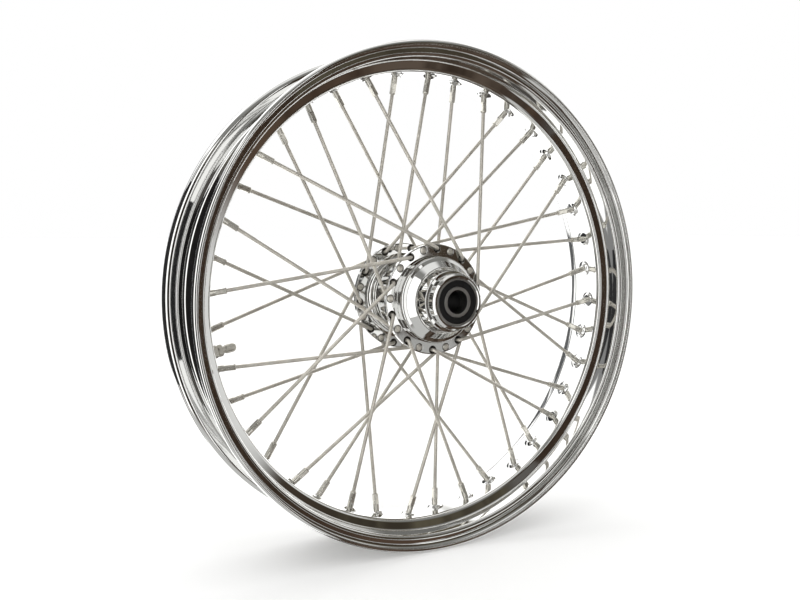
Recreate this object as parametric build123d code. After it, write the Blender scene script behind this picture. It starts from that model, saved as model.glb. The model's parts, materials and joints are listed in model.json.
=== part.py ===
"""Laced 21 inch front wheel for a motorcycle: rim, hub, forty spokes, bearings and valve.

Millimetres. The origin is the wheel's centre, on the axle line and midway between the rim's edges.
The wheel turns about Y. The bearing nose is on the -Y side and the brake side is on +Y. +Z is up.
Angles round the wheel are counted from +X towards +Z.
"""
from build123d import *
from math import cos, radians, sin, tan
import os

os.makedirs("parts", exist_ok=True)

# Rim: 21 x 3.50, rolled and welded steel with a dropped centre.
rim_radius = 281.0
rim_sheet = 2.2
flange_wall_y = 44.45
lip_outer_y = 56.65
lip_end_radius = 275.6
bead_seat_radius = 267.15
bead_seat_drop = 1.5
bead_seat_inner_y = 27.3
well_floor_y = 22.4
well_radius = 252.2

# Nipple seats pressed into the well.
nipple_seat_radius = 250.0
nipple_seat_y = 3.6
dimple_tip_radius = 6.2
dimple_reach = 7.0
dimple_base_radius = 10.6
nipple_hole_radius = 3.6

# Lacing: forty spokes, twenty to each hub flange, each crossing three others.
holes_per_flange = 20
first_hole_angle = 105.17
far_flange_lead = 9.0
lacing_lead = 54.0
spoke_radius = 2.0
elbow_radius = 3.8
hole_circle_radius = 56.5
spoke_hole_radius = 2.3
countersink_radius = 4.7
countersink_depth = countersink_radius - spoke_hole_radius
head_radius = 3.75
head_dome = 1.1
head_clearance = 0.15

# Nipples.
nipple_length = 20.0
nipple_radius = 3.4
nipple_bore_radius = 2.05
nipple_flat = 5.8
nipple_flats_length = 11.0
nipple_head_radius = 4.95

# Hub shell.
flange_radius = 61.8
flange_inner_y = 34.0
flange_outer_y = 39.6
barrel_radius = 42.0
barrel_fillet = 8.0
near_boss_radius = 48.3
near_end_y = 87.6
nose_radius = 31.0
rotor_boss_radius = 50.0
rotor_face_y = 62.0
rotor_pilot_radius = 28.1
far_end_y = 65.1
rotor_bolt_circle_radius = 41.275
rotor_hole_radius = 3.4
rotor_hole_depth = 18.0
rotor_hole_count = 5
hub_core_radius = 21.5

# Sealed ball bearings, 25.4 x 52 x 15.
axle_radius = 12.7
bearing_radius = 26.0
bearing_width = 15.0
bearing_recess = 1.1
race_inner_shoulder = 16.6
race_outer_shoulder = 22.3
ball_radius = 3.97
ball_circle_radius = 19.35
ball_count = 9
ball_clearance = 0.08
seal_seat_radius = 23.7
seal_thickness = 1.2
seal_lip_gap = 0.3
cage_inner_radius = 18.5
cage_outer_radius = 20.2
cage_width = 9.4

# Valve.
valve_angle = 191.3
valve_stem_radius = 3.85
valve_hole_radius = 4.15
valve_bore_radius = 2.6
valve_port_radius = 1.6
valve_foot_radius = 7.5
valve_foot_thickness = 3.0
grommet_thickness = 2.4
valve_washer_thickness = 1.2
valve_nut_flat = 12.0
valve_nut_thickness = 7.0
jam_nut_flat = 11.0
jam_nut_thickness = 4.6
jam_nut_start = 9.4
cap_start = 17.4
cap_length = 11.4
cap_radius = 4.6
stem_top = 26.0
core_depth = 11.4


def polar(radius, y, angle):
    return Vector(radius * cos(radians(angle)), y, radius * sin(radians(angle)))


def rounded_face(corners):
    """Face inside a closed outline of (x, y, corner radius) corners."""
    arcs = []
    for index, (x, y, radius) in enumerate(corners):
        here = Vector(x, y)
        back = (Vector(*corners[index - 1][:2]) - here).normalized()
        ahead = (Vector(*corners[(index + 1) % len(corners)][:2]) - here).normalized()
        if radius == 0:
            arcs.append((here, None, here))
            continue
        half_angle = radians(back.get_angle(ahead) / 2)
        reach = radius / tan(half_angle)
        bisector = (back + ahead).normalized()
        middle = here + bisector * (radius / sin(half_angle) - radius)
        arcs.append((here + back * reach, middle, here + ahead * reach))
    edges = []
    for index, (start, middle, end) in enumerate(arcs):
        edges.append(Edge.make_line(arcs[index - 1][2], start))
        if middle is not None:
            edges.append(Edge.make_three_point_arc(start, middle, end))
    return Face(Wire(edges))


def turned(corners):
    """Solid of revolution about Y from (radius, y) or (radius, y, corner radius) corners."""
    full = [corner if len(corner) == 3 else (corner[0], corner[1], 0) for corner in corners]
    return revolve(rounded_face(full), Axis.Y)


def spun(corners):
    """Solid of revolution about Z from (radius, z) or (radius, z, corner radius) corners."""
    return turned(corners).rotate(Axis.X, 90)


def around(shape, count):
    """Copies of a shape spread evenly round the axle."""
    return [shape.rotate(Axis.Y, -360.0 / count * step) for step in range(count)]


def save(name, shapes):
    solids = []
    for shape in shapes:
        solids.extend(shape.solids())
    shape = solids[0] if len(solids) == 1 else Compound(children=solids)
    shape.label = name
    export_step(shape, f"parts/{name}.step")
    print(name, len(solids), round(sum(solid.volume for solid in solids), 1))


def sheet_outline(path, thickness):
    """Corners of a bent sheet that follows a path of (x, y, bend radius) points."""
    sides = []
    for hand in (1, -1):
        side = []
        for index, (x, y, bend) in enumerate(path):
            here = Vector(x, y)
            before = path[max(index - 1, 0)]
            after = path[min(index + 1, len(path) - 1)]
            into = (here - Vector(*before[:2])) if index else (Vector(*after[:2]) - here)
            out = (Vector(*after[:2]) - here) if index < len(path) - 1 else into
            into = into.normalized()
            out = out.normalized()
            normal_in = Vector(-into.Y, into.X) * hand
            normal_out = Vector(-out.Y, out.X) * hand
            shift = (normal_in + normal_out) / (1 + normal_in.dot(normal_out))
            point = here + shift * (thickness / 2)
            turn = (into.X * out.Y - into.Y * out.X) * hand
            radius = 0 if bend == 0 else bend - thickness / 2 * (1 if turn > 0 else -1)
            side.append((point.X, point.Y, radius))
        sides.append(side)
    return sides[0] + sides[1][::-1]


# One spoke of each family: (name, side of the wheel, runs outside its flange, angle of its first hole).
families = [
    ("near_outer", -1, True, first_hole_angle + 18.0),
    ("near_inner", -1, False, first_hole_angle),
    ("far_outer", 1, True, first_hole_angle + far_flange_lead + 18.0),
    ("far_inner", 1, False, first_hole_angle + far_flange_lead),
]
spokes_per_family = holes_per_flange // 2


def spoke_line(side, outside, hole_angle):
    """Bend point at the hub and seat point at the rim of one spoke."""
    bend_y = flange_outer_y + 3.9 if outside else flange_inner_y - 2.2
    rim_angle = hole_angle + lacing_lead if outside else hole_angle - lacing_lead
    bend = polar(hole_circle_radius, side * bend_y, hole_angle)
    seat = polar(nipple_seat_radius, side * nipple_seat_y, rim_angle)
    return bend, seat


def seat_plane(side, outside, hole_angle):
    """Plane at the tip of a nipple's dimple, facing away from the hub along the spoke."""
    bend, seat = spoke_line(side, outside, hole_angle)
    return Plane(origin=seat, z_dir=seat - bend)


# Rim.
half_path = [
    (lip_end_radius, lip_outer_y - rim_sheet / 2, 0),
    (rim_radius - rim_sheet / 2, lip_outer_y - rim_sheet / 2, 3.1),
    (rim_radius - rim_sheet / 2, flange_wall_y + rim_sheet / 2, 6.8),
    (bead_seat_radius - rim_sheet / 2, flange_wall_y + rim_sheet / 2, 3.5),
    (bead_seat_radius - bead_seat_drop - rim_sheet / 2, bead_seat_inner_y, 4.0),
    (well_radius + rim_sheet / 2, well_floor_y, 5.0),
]
mirrored_half = [(radius, -y, bend) for radius, y, bend in half_path[::-1]]
rim = revolve(rounded_face(sheet_outline(half_path + mirrored_half, rim_sheet)), Axis.Y)

dimple = Cone(dimple_tip_radius, dimple_base_radius, dimple_reach, align=(Align.CENTER, Align.CENTER, Align.MIN))
dimple_hollow = spun([(0, rim_sheet), (3.9, rim_sheet), (10.3, rim_sheet + 6.4), (10.3, 11.0), (0, 11.0)])
nipple_hole = Cylinder(nipple_hole_radius, 8.0)
dimples = []
hollows = []
for name, side, outside, hole_angle in families:
    plane = seat_plane(side, outside, hole_angle)
    dimples.extend(around(plane * dimple, spokes_per_family))
    hollows.extend(around(plane * dimple_hollow, spokes_per_family))
    hollows.extend(around(plane * nipple_hole, spokes_per_family))
well_disc = Cylinder(well_radius + rim_sheet - 0.05, 60.0).rotate(Axis.X, 90)
dimples = [bump & well_disc for bump in dimples]
valve_plane = Plane(origin=polar(well_radius, 0, valve_angle), z_dir=polar(-1, 0, valve_angle))
valve_hole = valve_plane * Cylinder(valve_hole_radius, 12.0)
rim = rim.fuse(*dimples)
rim = rim.cut(*hollows, valve_hole)
save("rim", [rim])

# Hub shell, one turned and plated casting.
near_shoulder_y = near_end_y - bearing_recess - bearing_width
far_shoulder_y = far_end_y - bearing_recess - bearing_width
hub = turned([
    (bearing_radius + 0.9, -near_end_y, 0),
    (nose_radius - 2.2, -near_end_y, 0.8),
    (nose_radius, -near_end_y + 2.4, 1.2),
    (nose_radius, -77.6, 0.6),
    (nose_radius - 0.9, -76.8, 0.4),
    (nose_radius - 0.9, -75.9, 0.4),
    (33.6, -74.6, 1.4),
    (35.6, -59.5, 6.0),
    (43.2, -51.6, 1.6),
    (near_boss_radius, -48.9, 4.2),
    (near_boss_radius, -flange_outer_y, 0.4),
    (flange_radius, -flange_outer_y, 1.3),
    (flange_radius, -flange_inner_y, 1.3),
    (barrel_radius, -flange_inner_y, barrel_fillet),
    (barrel_radius, flange_inner_y, barrel_fillet),
    (flange_radius, flange_inner_y, 1.3),
    (flange_radius, flange_outer_y, 1.3),
    (rotor_boss_radius, flange_outer_y, 1.0),
    (rotor_boss_radius, rotor_face_y, 1.0),
    (rotor_pilot_radius, rotor_face_y, 0),
    (rotor_pilot_radius, far_end_y - 0.7, 0),
    (rotor_pilot_radius - 0.7, far_end_y, 0),
    (bearing_radius + 0.6, far_end_y, 0),
    (bearing_radius, far_end_y - 0.6, 0),
    (bearing_radius, far_shoulder_y, 0),
    (hub_core_radius, far_shoulder_y, 0),
    (hub_core_radius, -near_shoulder_y, 0),
    (bearing_radius, -near_shoulder_y, 0),
    (bearing_radius, -near_end_y + 0.9, 0),
])
flange_middle_y = (flange_inner_y + flange_outer_y) / 2
spoke_drill = Cylinder(spoke_hole_radius, 12.0).rotate(Axis.X, 90)
countersink = Cone(countersink_radius - countersink_depth, countersink_radius, countersink_depth)
cuts = []
for side, lead in ((-1, 0), (1, far_flange_lead)):
    for hole in range(holes_per_flange):
        centre = polar(hole_circle_radius, side * flange_middle_y, first_hole_angle + lead + 18.0 * hole)
        cuts.append(Pos(centre) * spoke_drill)
        for facing in (-1, 1):
            depth = (flange_outer_y - flange_inner_y - countersink_depth) / 2
            face = Plane(origin=centre + Vector(0, facing * depth, 0), z_dir=(0, facing, 0))
            cuts.append(face * countersink)
rotor_hole = Cylinder(rotor_hole_radius, rotor_hole_depth).rotate(Axis.X, 90)
rotor_hole_mouth = Plane(origin=(0, rotor_face_y - 0.4, 0), z_dir=(0, 1, 0)) * Cone(3.4, 4.2, 0.8)
for hole in range(rotor_hole_count):
    centre = polar(rotor_bolt_circle_radius, 0, 90.0 + 72.0 * hole)
    cuts.append(Pos(centre + Vector(0, rotor_face_y - rotor_hole_depth / 2, 0)) * rotor_hole)
    cuts.append(Pos(centre) * rotor_hole_mouth)
hub = hub.cut(*cuts)
save("hub_shell", [hub])

# Spokes and nipples, family by family.
head_cone = countersink_radius - head_clearance
spoke_head = spun([
    (0, spoke_radius - head_cone),
    (spoke_radius, spoke_radius - head_cone),
    (head_radius, head_radius - head_cone, 0.2),
    (head_radius, head_radius - head_cone + 0.45, 0.3),
    (head_radius * 0.74, head_dome * 0.72, 1.2),
    (head_radius * 0.34, head_dome, 1.2),
    (0, head_dome),
])
nipple_blank = spun([
    (nipple_bore_radius, -nipple_length),
    (nipple_radius - 0.5, -nipple_length, 0.3),
    (nipple_radius, -nipple_length + 0.9, 0.4),
    (nipple_radius, rim_sheet + 0.05),
    (3.8, rim_sheet + 0.05),
    (nipple_head_radius, rim_sheet + 1.2),
    (nipple_head_radius, rim_sheet + 1.7, 0.4),
    (nipple_head_radius - 1.4, rim_sheet + 2.6, 0.4),
    (nipple_bore_radius, rim_sheet + 2.6),
])
flats_block = Box(12, 12, nipple_flats_length) - Box(nipple_flat, nipple_flat, nipple_flats_length)
nipple = nipple_blank - Pos(0, 0, 1.2 - nipple_length + nipple_flats_length / 2) * flats_block
nipple = nipple - Pos(0, 0, rim_sheet + 2.4) * Box(12, 1.1, 1.2)

for name, side, outside, hole_angle in families:
    bend, seat = spoke_line(side, outside, hole_angle)
    head_y = side * (flange_inner_y if outside else flange_outer_y)
    facing = -side if outside else side
    face_point = polar(hole_circle_radius, head_y, hole_angle)
    outward = (seat - bend).normalized()
    path = FilletPolyline(face_point, bend, seat + outward * 3.2, radius=elbow_radius)
    shank = sweep(Plane(origin=face_point, z_dir=bend - face_point) * Circle(spoke_radius), path=path)
    head = Plane(origin=face_point, z_dir=(0, facing, 0)) * spoke_head
    save(f"spokes_{name}", around(shank.fuse(head), spokes_per_family))
    save(f"nipples_{name}", around(seat_plane(side, outside, hole_angle) * nipple, spokes_per_family))

# Bearings. Each is built about the origin and moved to its seat.
half_width = bearing_width / 2
raceway = ball_radius + ball_clearance
raceway_groove = revolve(Pos(ball_circle_radius, 0) * Circle(raceway), Axis.Y)
outer_race = turned([
    (race_outer_shoulder, -half_width + 1.7),
    (seal_seat_radius, -half_width + 1.7),
    (seal_seat_radius, -half_width),
    (bearing_radius, -half_width, 0.7),
    (bearing_radius, half_width, 0.7),
    (seal_seat_radius, half_width),
    (seal_seat_radius, half_width - 1.7),
    (race_outer_shoulder, half_width - 1.7),
]) - raceway_groove
inner_race = turned([
    (axle_radius, -half_width, 0.5),
    (race_inner_shoulder, -half_width, 0.3),
    (race_inner_shoulder, half_width, 0.3),
    (axle_radius, half_width, 0.5),
]) - raceway_groove
seal_lip_radius = race_inner_shoulder + seal_lip_gap
seal = turned([
    (seal_lip_radius, -half_width + 0.35),
    (seal_lip_radius + 1.0, -half_width + 0.15, 0.3),
    (seal_lip_radius + 2.0, -half_width + 0.35, 0.3),
    (seal_seat_radius - 1.2, -half_width + 0.35, 0.3),
    (seal_seat_radius - 0.4, -half_width + 0.1, 0.2),
    (seal_seat_radius - 0.02, -half_width + 0.4),
    (seal_seat_radius - 0.02, -half_width + 0.35 + seal_thickness),
    (seal_lip_radius, -half_width + 0.35 + seal_thickness),
])
ball_at = [polar(ball_circle_radius, 0, 360.0 / ball_count * index) for index in range(ball_count)]
balls = [Pos(centre) * Sphere(ball_radius) for centre in ball_at]
cage = turned([
    (cage_inner_radius, -cage_width / 2),
    (cage_outer_radius, -cage_width / 2),
    (cage_outer_radius, cage_width / 2),
    (cage_inner_radius, cage_width / 2),
])
cage = cage.cut(*[Pos(centre) * Sphere(ball_radius + 0.15) for centre in ball_at])
bearings = [
    ("near", -(near_end_y - bearing_recess - half_width), 0),
    ("far", far_end_y - bearing_recess - half_width, 180),
]
for name, y, turn in bearings:
    seat = Pos(0, y, 0) * Rot(turn, 0, 0)
    save(f"bearing_outer_race_{name}", [seat * outer_race])
    save(f"bearing_inner_race_{name}", [seat * inner_race])
    save(f"bearing_balls_{name}", [seat * ball for ball in balls])
    save(f"bearing_cage_{name}", [seat * cage])
    save(f"bearing_outer_seal_{name}", [seat * seal])
    save(f"bearing_inner_seal_{name}", [seat * Rot(180, 0, 0) * seal])

# Spacer tube that keeps the inner races apart.
spacer = turned([
    (axle_radius, -near_shoulder_y),
    (race_inner_shoulder - 0.2, -near_shoulder_y, 0.4),
    (race_inner_shoulder - 0.2, far_shoulder_y, 0.4),
    (axle_radius, far_shoulder_y),
])
save("bearing_spacer", [spacer])

# Valve, built along +Z from the hub side of the rim well and moved to its angle.
inner_face = -rim_sheet
foot_top = inner_face - grommet_thickness
stem = spun([
    (valve_port_radius, foot_top - valve_foot_thickness),
    (valve_foot_radius, foot_top - valve_foot_thickness, 0.8),
    (valve_foot_radius, foot_top, 0.4),
    (valve_stem_radius, foot_top),
    (valve_stem_radius, stem_top - 0.6),
    (valve_stem_radius - 0.6, stem_top),
    (valve_bore_radius, stem_top),
    (valve_bore_radius, stem_top - core_depth - 1.0),
    (valve_port_radius, stem_top - core_depth - 2.0),
])
grommet = spun([
    (valve_stem_radius + 0.02, foot_top + 0.02),
    (valve_foot_radius - 0.3, foot_top + 0.02, 0.5),
    (valve_foot_radius + 0.2, inner_face - 0.12, 0.5),
    (valve_stem_radius + 0.02, inner_face - 0.12),
])
washer = spun([
    (valve_stem_radius + 0.1, 0.12),
    (7.0, 0.12, 0.2),
    (7.0, valve_washer_thickness, 0.3),
    (valve_stem_radius + 0.1, valve_washer_thickness),
])


def hexagon_nut(across_flats, thickness, start):
    blank = extrude(RegularPolygon(across_flats / 2, 6, major_radius=False), thickness)
    corner = across_flats / 2 / cos(radians(30))
    chamfer_form = spun([(0, 0), (corner - 0.7, 0), (corner, 0.5), (corner, thickness - 0.5),
                         (corner - 0.7, thickness), (0, thickness)])
    bore = Cylinder(valve_stem_radius + 0.02, 3 * thickness)
    return Pos(0, 0, start) * ((blank & chamfer_form) - bore)


valve_nut = hexagon_nut(valve_nut_flat, valve_nut_thickness, valve_washer_thickness + 0.02)
jam_nut = hexagon_nut(jam_nut_flat, jam_nut_thickness, jam_nut_start)
cap = spun([
    (valve_stem_radius + 0.06, cap_start),
    (cap_radius - 0.3, cap_start, 0.2),
    (cap_radius, cap_start + 0.8, 0.2),
    (cap_radius, cap_start + cap_length - 2.6, 1.2),
    (cap_radius - 1.6, cap_start + cap_length, 0.9),
    (0, cap_start + cap_length),
    (0, stem_top + 1.0),
    (valve_stem_radius + 0.06, stem_top + 1.0),
])
flutes = [Rot(0, 0, 30.0 * step) * Pos(cap_radius + 0.35, 0, cap_start + 4.7) * Cylinder(0.7, 6.0)
          for step in range(12)]
cap = cap.cut(*flutes)
core_start = stem_top - core_depth
core = spun([
    (1.0, core_start),
    (valve_bore_radius - 0.03, core_start),
    (valve_bore_radius - 0.03, stem_top - 1.8),
    (valve_bore_radius - 0.7, stem_top - 1.0),
    (1.0, stem_top - 1.0),
])
pin = spun([
    (0, core_start - 5.8),
    (1.2, core_start - 5.8),
    (1.2, core_start - 4.8),
    (0.8, core_start - 4.4),
    (0.8, stem_top - 0.2, 0.2),
    (0, stem_top - 0.2),
])
valve_pieces = [
    ("valve_stem", stem),
    ("valve_grommet", grommet),
    ("valve_washer", washer),
    ("valve_nut", valve_nut),
    ("valve_jam_nut", jam_nut),
    ("valve_cap", cap),
    ("valve_core", core),
    ("valve_pin", pin),
]
for name, shape in valve_pieces:
    save(name, [valve_plane * shape])
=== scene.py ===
"""Looks of a wire-spoked motorcycle front wheel: mirror chrome rim and hub, satin spokes, sealed bearing."""
import json
from math import cos, pi, radians, sin, tan

import bmesh
import bpy
import numpy as np
from mathutils import Matrix, Vector


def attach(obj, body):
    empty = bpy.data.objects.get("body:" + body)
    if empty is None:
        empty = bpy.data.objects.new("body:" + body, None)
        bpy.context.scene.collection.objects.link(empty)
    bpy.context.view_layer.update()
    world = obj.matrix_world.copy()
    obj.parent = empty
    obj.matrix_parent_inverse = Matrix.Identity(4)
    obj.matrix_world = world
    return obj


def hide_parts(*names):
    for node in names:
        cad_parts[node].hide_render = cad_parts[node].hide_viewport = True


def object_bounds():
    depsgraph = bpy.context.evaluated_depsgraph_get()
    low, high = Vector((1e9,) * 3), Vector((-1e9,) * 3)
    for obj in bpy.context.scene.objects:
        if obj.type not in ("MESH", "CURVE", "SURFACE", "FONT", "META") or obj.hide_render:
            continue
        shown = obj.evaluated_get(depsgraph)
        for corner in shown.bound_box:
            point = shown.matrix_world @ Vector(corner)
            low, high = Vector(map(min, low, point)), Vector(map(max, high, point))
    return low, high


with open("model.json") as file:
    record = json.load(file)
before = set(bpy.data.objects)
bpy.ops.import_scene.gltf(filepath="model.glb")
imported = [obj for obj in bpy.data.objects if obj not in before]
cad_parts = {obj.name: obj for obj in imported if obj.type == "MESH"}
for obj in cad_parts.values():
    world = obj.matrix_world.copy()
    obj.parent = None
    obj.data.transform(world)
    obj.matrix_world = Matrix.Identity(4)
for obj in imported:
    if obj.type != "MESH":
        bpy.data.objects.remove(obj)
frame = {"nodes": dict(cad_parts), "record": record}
cad_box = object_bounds()
MM = 0.001

# ---------------------------------------------------------------- sizes, in millimetres and degrees
RIM_RADIUS = 281.0
RIM_SHEET = 2.2
WALL_Y = 44.45
LIP_Y = 56.65
LIP_END = 275.6
BEAD_SEAT = 267.15
BEAD_DROP = 1.5
BEAD_INNER_Y = 27.3
WELL_Y = 22.4
WELL_RADIUS = 252.2
SEAT_RADIUS = 250.0
SEAT_Y = 3.6
FIRST_HOLE = 105.17
HOLE_STEP = 18.0
FAR_LEAD = 9.0
LACING_LEAD = 54.0
HOLE_CIRCLE = 56.5
FLANGE_INNER = 34.0
FLANGE_OUTER = 39.6
SPOKES_PER_FAMILY = 10
BEND_OUTSIDE = 3.9
BEND_INSIDE = 2.2
# Inner and outer radius of the painted shade round each spoke hole of the hub.
HOLE_SHADE_RING = (4.3, 4.8)
DIMPLE_FLAT = 6.0
DIMPLE_EDGE = 9.0
DIMPLE_REACH = 14.0
WELL_GRID = 1.15
WELL_GRID_Y = 3.0
WELL_GRID_RADIUS = 258.0
RIM_GRID = 6.0
BEND_STEP = 9.0
RIM_STEPS = 1440

# ---------------------------------------------------------------- camera, in degrees, millimetres and metres
CAMERA_AZIMUTH = -29.41
CAMERA_ELEVATION = 4.375
CAMERA_LENS = 42.32
CAMERA_DISTANCE = 1.0835
CAMERA_SHIFT_LEFT = 0.01941
CAMERA_SHIFT_DOWN = 0.0034


def polar(radius, y, angle):
    return np.array([radius * cos(radians(angle)), y, radius * sin(radians(angle))])


# ---------------------------------------------------------------- node helpers
class Nodes:
    """Small wrapper for building a node tree in plain calls."""

    def __init__(self, tree):
        self.tree = tree
        tree.nodes.clear()

    def add(self, kind, values=None, **settings):
        node = self.tree.nodes.new(kind)
        for key, value in settings.items():
            setattr(node, key, value)
        for key, value in (values or {}).items():
            if hasattr(value, "is_output"):
                self.tree.links.new(value, node.inputs[key])
            else:
                node.inputs[key].default_value = value
        return node

    def maths(self, operation, a, b=0.0, c=0.0, clamp=False):
        return self.add("ShaderNodeMath", {0: a, 1: b, 2: c}, operation=operation, use_clamp=clamp).outputs[0]

    def length(self, a, b):
        squares = self.maths("ADD", self.maths("MULTIPLY", a, a), self.maths("MULTIPLY", b, b))
        return self.maths("SQRT", squares)

    def band(self, value, low, high, out_low=0.0, out_high=1.0):
        values = {0: value, 1: low, 2: high, 3: out_low, 4: out_high}
        return self.add("ShaderNodeMapRange", values, interpolation_type="SMOOTHSTEP", clamp=True).outputs[0]

    def mix(self, factor, a, b):
        node = self.add("ShaderNodeMix", data_type="RGBA")
        for socket, value in ((node.inputs[0], factor), (node.inputs[6], a), (node.inputs[7], b)):
            if hasattr(value, "is_output"):
                self.tree.links.new(value, socket)
            else:
                socket.default_value = value
        return node.outputs[2]

    def noise(self, vector, scale, detail=3.0, roughness=0.55):
        values = {"Vector": vector, "Scale": scale, "Detail": detail, "Roughness": roughness}
        return self.add("ShaderNodeTexNoise", values).outputs[0]

    def bump(self, height, strength, distance):
        values = {"Height": height, "Strength": strength, "Distance": distance}
        return self.add("ShaderNodeBump", values).outputs[0]

    def object_coords(self):
        return self.add("ShaderNodeTexCoord").outputs["Object"]


def material(name, build):
    mat = bpy.data.materials.new(name)
    mat.use_nodes = True
    nodes = Nodes(mat.node_tree)
    shader = build(nodes)
    nodes.add("ShaderNodeOutputMaterial", {0: shader.outputs[0]})
    return mat


def tint(colour, amount):
    """Colour made lighter or darker, with an alpha of one."""
    return tuple(min(1.0, c * amount) for c in colour) + (1.0,)


def chrome(nodes, roughness=0.03, wave=0.00002, wave_scale=28.0):
    """Bright plating: a mirror with faint haze, slow polishing waves and fine wipe marks."""
    base = (0.67, 0.67, 0.66)
    place = nodes.object_coords()
    cloud = nodes.noise(place, 14.0, 5.0)
    fine = nodes.noise(place, 260.0, 2.0)
    rough = nodes.band(nodes.maths("MULTIPLY", cloud, fine), 0.12, 0.42, roughness, roughness + 0.03)
    colour = nodes.mix(cloud, tint(base, 0.965), tint(base, 1.03))
    swell = nodes.bump(nodes.noise(place, wave_scale, 1.0), 1.0, wave)
    return nodes.add("ShaderNodeBsdfPrincipled", {
        "Base Color": colour, "Metallic": 1.0, "Roughness": rough, "Normal": swell})


def hub_chrome(nodes):
    """Chrome over a buffed casting: gently uneven, with painted shade that darkens the plating in and round
    the spoke holes.
    """
    shader = chrome(nodes, wave=0.00011, wave_scale=34.0)
    x, y, z = nodes.add("ShaderNodeSeparateXYZ", {0: nodes.object_coords()}).outputs
    radius = nodes.length(x, z)
    lead = nodes.maths("MULTIPLY", nodes.maths("GREATER_THAN", y, 0.0), radians(FAR_LEAD))
    angle = nodes.maths("SUBTRACT", nodes.maths("ARCTAN2", z, x), lead)
    angle = nodes.maths("SUBTRACT", angle, radians(FIRST_HOLE))
    half_step = radians(HOLE_STEP) / 2
    from_hole = nodes.maths("WRAP", angle, -half_step, half_step)
    sideways = nodes.maths("MULTIPLY", from_hole, HOLE_CIRCLE * MM)
    inward = nodes.maths("SUBTRACT", radius, HOLE_CIRCLE * MM)
    # Painted shade: the base colour turns near black within this ring round each spoke hole, standing in for
    # shade in the countersinks.
    clear_of_painted_shade = nodes.band(nodes.length(sideways, inward), HOLE_SHADE_RING[0] * MM, HOLE_SHADE_RING[1] * MM)
    base = shader.inputs["Base Color"].links[0].from_socket
    nodes.tree.links.new(nodes.mix(clear_of_painted_shade, (0.13, 0.125, 0.12, 1), base), shader.inputs["Base Color"])
    return shader


def drawn_steel(nodes, base, roughness, metal=1.0):
    """Satin steel: drawn or turned wire with fine scratches and patchy sheen."""
    place = nodes.object_coords()
    patches = nodes.noise(place, 60.0, 4.0)
    grain = nodes.noise(place, 2600.0, 3.0, 0.7)
    colour = nodes.mix(nodes.band(patches, 0.3, 0.7), tint(base, 0.86), tint(base, 1.1))
    rough = nodes.band(grain, 0.25, 0.75, roughness - 0.08, roughness + 0.1)
    normal = nodes.bump(grain, 0.5, 0.000012)
    return nodes.add("ShaderNodeBsdfPrincipled", {
        "Base Color": colour, "Metallic": metal, "Roughness": rough, "Normal": normal})


def rubber(nodes, base, roughness, gloss):
    """Moulded rubber: near black, a little uneven, with a soft skin shine."""
    place = nodes.object_coords()
    patches = nodes.noise(place, 180.0, 4.0)
    pores = nodes.noise(place, 4200.0, 2.0)
    colour = nodes.mix(patches, tint(base, 0.75), tint(base, 1.5))
    rough = nodes.band(patches, 0.3, 0.7, roughness - 0.08, roughness + 0.08)
    normal = nodes.bump(pores, 0.6, 0.00002)
    return nodes.add("ShaderNodeBsdfPrincipled", {
        "Base Color": colour, "Metallic": 0.0, "Roughness": rough, "Specular IOR Level": gloss,
        "Normal": normal})


LOOKS = {
    "rim_chrome": chrome,
    "hub_chrome": hub_chrome,
    "spoke_steel": lambda n: drawn_steel(n, (0.62, 0.59, 0.53), 0.27, 0.62),
    "nipple_steel": lambda n: drawn_steel(n, (0.70, 0.68, 0.62), 0.18, 0.8),
    "race_steel": lambda n: drawn_steel(n, (0.34, 0.335, 0.325), 0.34),
    "ball_steel": lambda n: chrome(n, roughness=0.06),
    "cage_steel": lambda n: drawn_steel(n, (0.5, 0.5, 0.5), 0.4),
    "seal_rubber": lambda n: rubber(n, (0.006, 0.006, 0.006), 0.5, 0.2),
    "spacer_steel": lambda n: drawn_steel(n, (0.22, 0.22, 0.22), 0.38),
    "valve_nickel": lambda n: drawn_steel(n, (0.62, 0.60, 0.54), 0.30, 0.7),
    "valve_rubber": lambda n: rubber(n, (0.02, 0.02, 0.02), 0.7, 0.25),
    "valve_brass": lambda n: drawn_steel(n, (0.66, 0.50, 0.24), 0.33),
}
MATERIALS = {slot: material(slot, look) for slot, look in LOOKS.items()}

slot_of = {part["node"]: part["material_slot"] for part in frame["record"]["subparts"]}
for node_name, node_object in frame["nodes"].items():
    node_object.data.materials.clear()
    node_object.data.materials.append(MATERIALS[slot_of[node_name]])


# ---------------------------------------------------------------- lathe work
def sheet_corners(path, thickness):
    """Corners of both skins of a bent sheet that follows (x, y, bend radius) points."""
    skins = []
    for hand in (1, -1):
        skin = []
        for index, (x, y, bend) in enumerate(path):
            here = np.array([x, y])
            ahead = np.array(path[min(index + 1, len(path) - 1)][:2]) - here
            behind = here - np.array(path[max(index - 1, 0)][:2])
            into = behind if index else ahead
            out = ahead if index < len(path) - 1 else behind
            into = into / np.linalg.norm(into)
            out = out / np.linalg.norm(out)
            normal_in = np.array([-into[1], into[0]]) * hand
            normal_out = np.array([-out[1], out[0]]) * hand
            shift = (normal_in + normal_out) / (1 + normal_in @ normal_out)
            point = here + shift * thickness / 2
            turn = (into[0] * out[1] - into[1] * out[0]) * hand
            radius = 0 if bend == 0 else bend - thickness / 2 * (1 if turn > 0 else -1)
            skin.append((point[0], point[1], radius))
        skins.append(skin)
    return skins[0] + skins[1][::-1]


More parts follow.
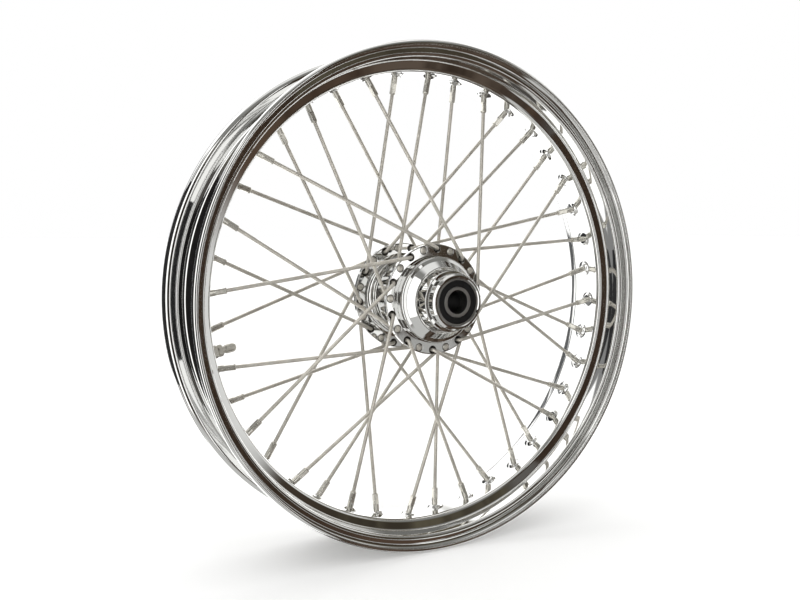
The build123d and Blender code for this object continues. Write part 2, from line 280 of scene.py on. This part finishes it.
def outline_points(corners, arc_step, longest):
    """Points round a closed outline of (x, y, corner radius) corners; longest(x, y) limits straight steps."""
    runs = []
    for index, (x, y, radius) in enumerate(corners):
        here = np.array([x, y])
        back = np.array(corners[index - 1][:2]) - here
        ahead = np.array(corners[(index + 1) % len(corners)][:2]) - here
        back = back / np.linalg.norm(back)
        ahead = ahead / np.linalg.norm(ahead)
        if radius == 0:
            runs.append([here])
            continue
        half = np.arccos(np.clip(back @ ahead, -1, 1)) / 2
        reach = radius / tan(half)
        bisector = (back + ahead) / np.linalg.norm(back + ahead)
        centre = here + bisector * radius / sin(half)
        start = here + back * reach - centre
        end = here + ahead * reach - centre
        sweep = pi - 2 * half
        count = max(2, int(np.degrees(sweep) / arc_step) + 1)
        arc = []
        for step in range(count + 1):
            t = step / count
            arc.append(centre + (sin((1 - t) * sweep) * start + sin(t * sweep) * end) / sin(sweep))
        runs.append(arc)
    points = []
    for index, run in enumerate(runs):
        last = runs[index - 1][-1]
        first = run[0]
        gap = np.linalg.norm(first - last)
        pieces = max(1, int(gap / longest(*((first + last) / 2))))
        for part in range(1, pieces):
            points.append(last + (first - last) * part / pieces)
        points.extend(run)
    return np.array(points)


def lathe(points, segments):
    """Closed ring mesh: vertices and quads of an outline turned about Y. points are (radius, y)."""
    angles = np.arange(segments) * 2 * pi / segments
    radius = points[:, 0][None, :]
    x = radius * np.cos(angles)[:, None]
    z = radius * np.sin(angles)[:, None]
    y = np.broadcast_to(points[:, 1][None, :], x.shape)
    vertices = np.stack([x, y, z], -1).reshape(-1, 3)
    count = len(points)
    around = np.arange(segments)[:, None]
    along = np.arange(count)[None, :]
    a = around * count + along
    b = around * count + (along + 1) % count
    c = ((around + 1) % segments) * count + (along + 1) % count
    d = ((around + 1) % segments) * count + along
    quads = np.stack([a, b, c, d], -1).reshape(-1, 4)
    return vertices, quads


def make_object(name, vertices, faces, slot, body):
    """Smooth-shaded mesh from millimetre vertices that moves with a body of the frame."""
    mesh = bpy.data.meshes.new(name)
    mesh.from_pydata((np.asarray(vertices) * MM).tolist(), [], [list(map(int, f)) for f in faces])
    mesh.validate()
    obj = bpy.data.objects.new(name, mesh)
    bpy.context.scene.collection.objects.link(obj)
    bm = bmesh.new()
    bm.from_mesh(mesh)
    bmesh.ops.recalc_face_normals(bm, faces=bm.faces)
    bm.to_mesh(mesh)
    bm.free()
    mesh.shade_smooth()
    mesh.materials.append(MATERIALS[slot])
    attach(obj, body)
    return obj


# ---------------------------------------------------------------- lacing
# Side of the wheel, whether the spokes run outside their flange, and the angle of the first hole.
FAMILIES = [
    (-1, True, FIRST_HOLE + HOLE_STEP),
    (-1, False, FIRST_HOLE),
    (1, True, FIRST_HOLE + FAR_LEAD + HOLE_STEP),
    (1, False, FIRST_HOLE + FAR_LEAD),
]


def spoke_lines():
    """Bend point and rim seat of each spoke."""
    lines = []
    for side, outside, first in FAMILIES:
        for turn in range(SPOKES_PER_FAMILY):
            hole = first + 2 * HOLE_STEP * turn
            bend_y = FLANGE_OUTER + BEND_OUTSIDE if outside else FLANGE_INNER - BEND_INSIDE
            rim = hole + LACING_LEAD if outside else hole - LACING_LEAD
            lines.append((polar(HOLE_CIRCLE, side * bend_y, hole), polar(SEAT_RADIUS, side * SEAT_Y, rim)))
    return lines


# ---------------------------------------------------------------- rim
def straight_step(radius, y):
    """Longest straight step of the rim's outline: fine on the well's floor, where the seats are pressed."""
    return WELL_GRID if abs(y) < WELL_GRID_Y and radius < WELL_GRID_RADIUS else RIM_GRID


# Middle line of the rolled sheet from the lip to the well: radius, distance from the middle and bend radius.
half_path = [
    (LIP_END, LIP_Y - RIM_SHEET / 2, 0),
    (RIM_RADIUS - RIM_SHEET / 2, LIP_Y - RIM_SHEET / 2, 3.1),
    (RIM_RADIUS - RIM_SHEET / 2, WALL_Y + RIM_SHEET / 2, 6.8),
    (BEAD_SEAT - RIM_SHEET / 2, WALL_Y + RIM_SHEET / 2, 3.5),
    (BEAD_SEAT - BEAD_DROP - RIM_SHEET / 2, BEAD_INNER_Y, 4.0),
    (WELL_RADIUS + RIM_SHEET / 2, WELL_Y, 5.0),
]
mirrored = [(radius, -y, bend) for radius, y, bend in half_path[::-1]]
rim_corners = sheet_corners(half_path + mirrored, RIM_SHEET)
rim_points = outline_points(rim_corners, BEND_STEP, straight_step)
rim_vertices, rim_quads = lathe(rim_points, RIM_STEPS)
for bend, seat in spoke_lines():
    # Press a flat-topped dimple square to the spoke, so its nipple seats flat in the well.
    axis = (seat - bend) / np.linalg.norm(seat - bend)
    offset = rim_vertices - seat
    near = np.flatnonzero((np.abs(offset) < DIMPLE_REACH).all(1))
    along = offset[near] @ axis
    away = np.linalg.norm(offset[near] - along[:, None] * axis, axis=1)
    ring = np.hypot(rim_vertices[near, 0], rim_vertices[near, 2])
    rest = np.where(ring > WELL_RADIUS + RIM_SHEET / 2, RIM_SHEET, 0.0)
    t = np.clip((DIMPLE_EDGE - away) / (DIMPLE_EDGE - DIMPLE_FLAT), 0, 1)
    weight = t * t * (3 - 2 * t)
    rim_vertices[near] -= (weight * (along - rest))[:, None] * axis
rim = make_object("rim_chromed", rim_vertices, rim_quads, "rim_chrome", "wheel")
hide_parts("rim")

# ---------------------------------------------------------------- stage, light and camera
azimuth = radians(CAMERA_AZIMUTH)
elevation = radians(CAMERA_ELEVATION)
back = Vector((sin(azimuth) * cos(elevation), -cos(azimuth) * cos(elevation), sin(elevation)))
right = Vector((cos(azimuth), sin(azimuth), 0))
up = back.cross(right)
camera_data = bpy.data.cameras.new("camera")
camera_data.sensor_width = 36.0
camera_data.lens = CAMERA_LENS
camera_data.clip_end = 60
camera = bpy.data.objects.new("camera", camera_data)
bpy.context.scene.collection.objects.link(camera)
turn = Matrix((right, up, back)).transposed().to_4x4()
place = back * CAMERA_DISTANCE - right * CAMERA_SHIFT_LEFT - up * CAMERA_SHIFT_DOWN
camera.matrix_world = Matrix.Translation(place) @ turn
bpy.context.scene.camera = camera


def flat_sheet(name, half_width, half_height, place, build):
    """Level rectangle about its own centre, part of the stage. Sizes in metres."""
    mesh = bpy.data.meshes.new(name)
    corners = [(x * half_width, y * half_height, 0) for x, y in ((-1, -1), (1, -1), (1, 1), (-1, 1))]
    mesh.from_pydata(corners, [], [(0, 1, 2, 3)])
    mesh.materials.append(material(name, build))
    obj = bpy.data.objects.new(name, mesh)
    obj.location = place
    bpy.context.scene.collection.objects.link(obj)
    return obj


def matt(nodes, dark, light, scale=8.0, detail=4.0, specular=0.0, glow=0.0):
    """Dull, slightly uneven paper, board or cloth."""
    colour = nodes.mix(nodes.noise(nodes.object_coords(), scale, detail), dark + (1,), light + (1,))
    return nodes.add("ShaderNodeBsdfPrincipled", {
        "Base Color": colour, "Roughness": 0.9, "Specular IOR Level": specular,
        "Emission Color": (1, 1, 1, 1), "Emission Strength": glow})


def paper(nodes):
    return matt(nodes, (0.955, 0.955, 0.95), (0.97, 0.97, 0.965), 3.0, 2.0, specular=0.1, glow=0.10)


def cloth(nodes):
    return matt(nodes, (0.02, 0.02, 0.022), (0.05, 0.05, 0.05))


def gap(nodes):
    return matt(nodes, (0.008, 0.008, 0.009), (0.022, 0.020, 0.019))


def wood(nodes):
    return matt(nodes, (0.026, 0.017, 0.012), (0.070, 0.048, 0.034))


def board(nodes):
    return matt(nodes, (0.88, 0.88, 0.87), (0.95, 0.95, 0.94), glow=0.4)


FLOOR_GAP = 0.0004
floor = flat_sheet("floor_paper", 30, 30, (0, 0, cad_box[0][2] - FLOOR_GAP), paper)
floor.visible_glossy = False

# Upright sheets that only mirror reflections show: half width, half height, centre, turn and look.
FACING_RIGHT = (0, pi / 2, 0)
FACING_WHEEL = (pi / 2, 0, 0)
SCREENS = {
    "flag_left": (0.35, 0.35, (-0.60, 0.30, 0.05), FACING_RIGHT, cloth),
    "gap_left": (0.20, 0.9, (-0.93, -0.96, 0.0), FACING_WHEEL, gap),
    "board_front": (0.1275, 0.9, (-0.4225, -0.96, 0.0), FACING_WHEEL, board),
    "board_right": (0.05, 0.9, (0.02, -0.96, 0.0), FACING_WHEEL, board),
    "wood_right": (0.10, 0.9, (0.17, -0.96, 0.0), FACING_WHEEL, wood),
}
for name, (half_width, half_height, centre, turned, look) in SCREENS.items():
    sheet = flat_sheet(name, half_width, half_height, centre, look)
    sheet.rotation_euler = turned
    sheet.visible_camera = False
    sheet.visible_diffuse = False
    sheet.visible_shadow = False

world = bpy.data.worlds.new("studio")
world.use_nodes = True
bpy.context.scene.world = world
sky = Nodes(world.node_tree)
direction = sky.add("ShaderNodeTexCoord").outputs["Generated"]
split = sky.add("ShaderNodeSeparateXYZ", {0: direction})
x_dir, y_dir, z_dir = split.outputs
bearing = sky.maths("MULTIPLY", sky.maths("ARCTAN2", x_dir, sky.maths("MULTIPLY", y_dir, -1.0)), 180 / pi)
height = sky.maths("MULTIPLY", sky.maths("ARCSINE", z_dir), 180 / pi)


def window(low_bearing, high_bearing, low_height, high_height, soft=3.0):
    """Soft-edged patch of the studio, in degrees round from the -Y side and degrees up."""
    edges = [
        sky.band(bearing, low_bearing - soft, low_bearing + soft),
        sky.band(bearing, high_bearing - soft, high_bearing + soft, 1.0, 0.0),
        sky.band(height, low_height - soft, low_height + soft),
        sky.band(height, high_height - soft, high_height + soft, 1.0, 0.0),
    ]
    patch = edges[0]
    for edge in edges[1:]:
        patch = sky.maths("MULTIPLY", patch, edge)
    return patch


WHITE = (1.5, 1.5, 1.48, 1)
BACKDROP = (1.5, 1.5, 1.49, 1)
BLACK = (0.010, 0.011, 0.014, 1)

# The room in front: brown ceiling over brown planks, greyer high up, light low down but for dark boards.
patchy = sky.band(sky.noise(direction, 5.0, 4.0, 0.65), 0.4, 0.6)
ceiling = sky.mix(patchy, (0.040, 0.033, 0.024, 1), (0.10, 0.088, 0.060, 1))
planks = sky.mix(patchy, (0.034, 0.022, 0.016, 1), (0.090, 0.060, 0.042, 1))
boards = sky.mix(patchy, (0.036, 0.025, 0.018, 1), (0.105, 0.080, 0.062, 1))
studio = sky.mix(sky.band(height, -6, 4), planks, ceiling)
studio = sky.mix(sky.band(height, 26, 50), studio, (0.24, 0.24, 0.23, 1))
studio = sky.mix(sky.band(height, -44, -32), (0.55, 0.55, 0.54, 1), studio)
studio = sky.mix(window(15, 98, -90, -30), studio, boards)

# Round the sides and in front: low and high bearing, low and high height, soft edge, then the tone.
FRONT = [
    ((60, 118, -12, 40, 5.0), (0.75, 0.75, 0.74, 1)),       # soft box on the right
    ((-118, -52, -30, 44, 2.0), (0.16, 0.155, 0.15, 1)),    # grey side wall on the left
    ((-108, -101, -40, 50, 0.6), (1.2, 1.2, 1.19, 1)),      # narrow strip light on it
    ((-76, -50, -40, 50, 1.0), WHITE),                      # soft box on the left
    ((-50, 14, -30, 32, 2.0), (0.115, 0.108, 0.100, 1)),    # dim room round the viewer
    ((33, 60, -18, 18, 2.0), (0.050, 0.038, 0.028, 1)),     # dark wood beside the right soft box
    ((22, 30.7, -5.8, 2.0, 0.5), WHITE),                    # small white card
    ((22, 33.0, -13, -6.5, 0.4), (0.42, 0.42, 0.41, 1)),    # its grey foot
]
for patch, tone in FRONT:
    studio = sky.mix(window(*patch), studio, tone)

# Behind the wheel: the white sweep, a dark beam high on the right, a dark doorway low on the right whose edge
# leans away further down, and a grey stand on the left.
sweep = sky.mix(window(100, 153, 23.5, 52, 2.0), BACKDROP, (0.105, 0.092, 0.066, 1))
lower_down = sky.maths("MAXIMUM", sky.maths("SUBTRACT", -24.0, height), 0.0)
door_edge = sky.maths("MULTIPLY_ADD", lower_down, 1.3, 148.5)
inside_edge = sky.band(sky.maths("SUBTRACT", bearing, door_edge), -1.5, 1.5, 1.0, 0.0)
door = sky.maths("MULTIPLY", inside_edge, sky.band(height, -4.5, -1.5, 1.0, 0.0))
door = sky.maths("MULTIPLY", door, sky.band(bearing, 124, 130))
sweep = sky.mix(door, sweep, (0.072, 0.066, 0.062, 1))
sweep = sky.mix(window(-134, -110, -50, 45, 1.5), sweep, (0.24, 0.24, 0.24, 1))
studio = sky.mix(sky.band(sky.maths("ABSOLUTE", bearing), 100, 110), studio, sweep)

# Straight behind: dark grey and black stands with two narrow light strips between them.
REAR = [
    ((-181, -151, -17, 27, 1.2), (0.115, 0.118, 0.122, 1)),
    ((168, 181, -17, 27, 1.2), (0.10, 0.10, 0.10, 1)),
    ((-181, -171.5, -17, 27, 0.8), BLACK),
    ((176, 181, -17, 27, 0.8), BLACK),
    ((-162, -160, -17, 27, 0.5), (1.2, 1.2, 1.2, 1)),
    ((-166, -164, -17, 27, 0.5), (0.26, 0.26, 0.27, 1)),
]
for patch, tone in REAR:
    studio = sky.mix(window(*patch), studio, tone)
studio = sky.mix(sky.band(height, 62, 72), studio, (0.85, 0.85, 0.84, 1))

# The camera and matt surfaces meet plain white; mirrors meet the studio, a third brighter.
rays = sky.add("ShaderNodeLightPath").outputs
plain = sky.maths("ADD", rays["Is Camera Ray"], rays["Is Diffuse Ray"], clamp=True)
seen = sky.mix(plain, studio, (1.0, 1.0, 1.0, 1))
power = sky.band(plain, 0, 1, 1.3, 1.0)
light = sky.add("ShaderNodeBackground", {"Color": seen, "Strength": power})
sky.add("ShaderNodeOutputWorld", {0: light.outputs[0]})

bpy.context.scene.view_settings.view_transform = "Standard"
bpy.context.scene.view_settings.look = "None"
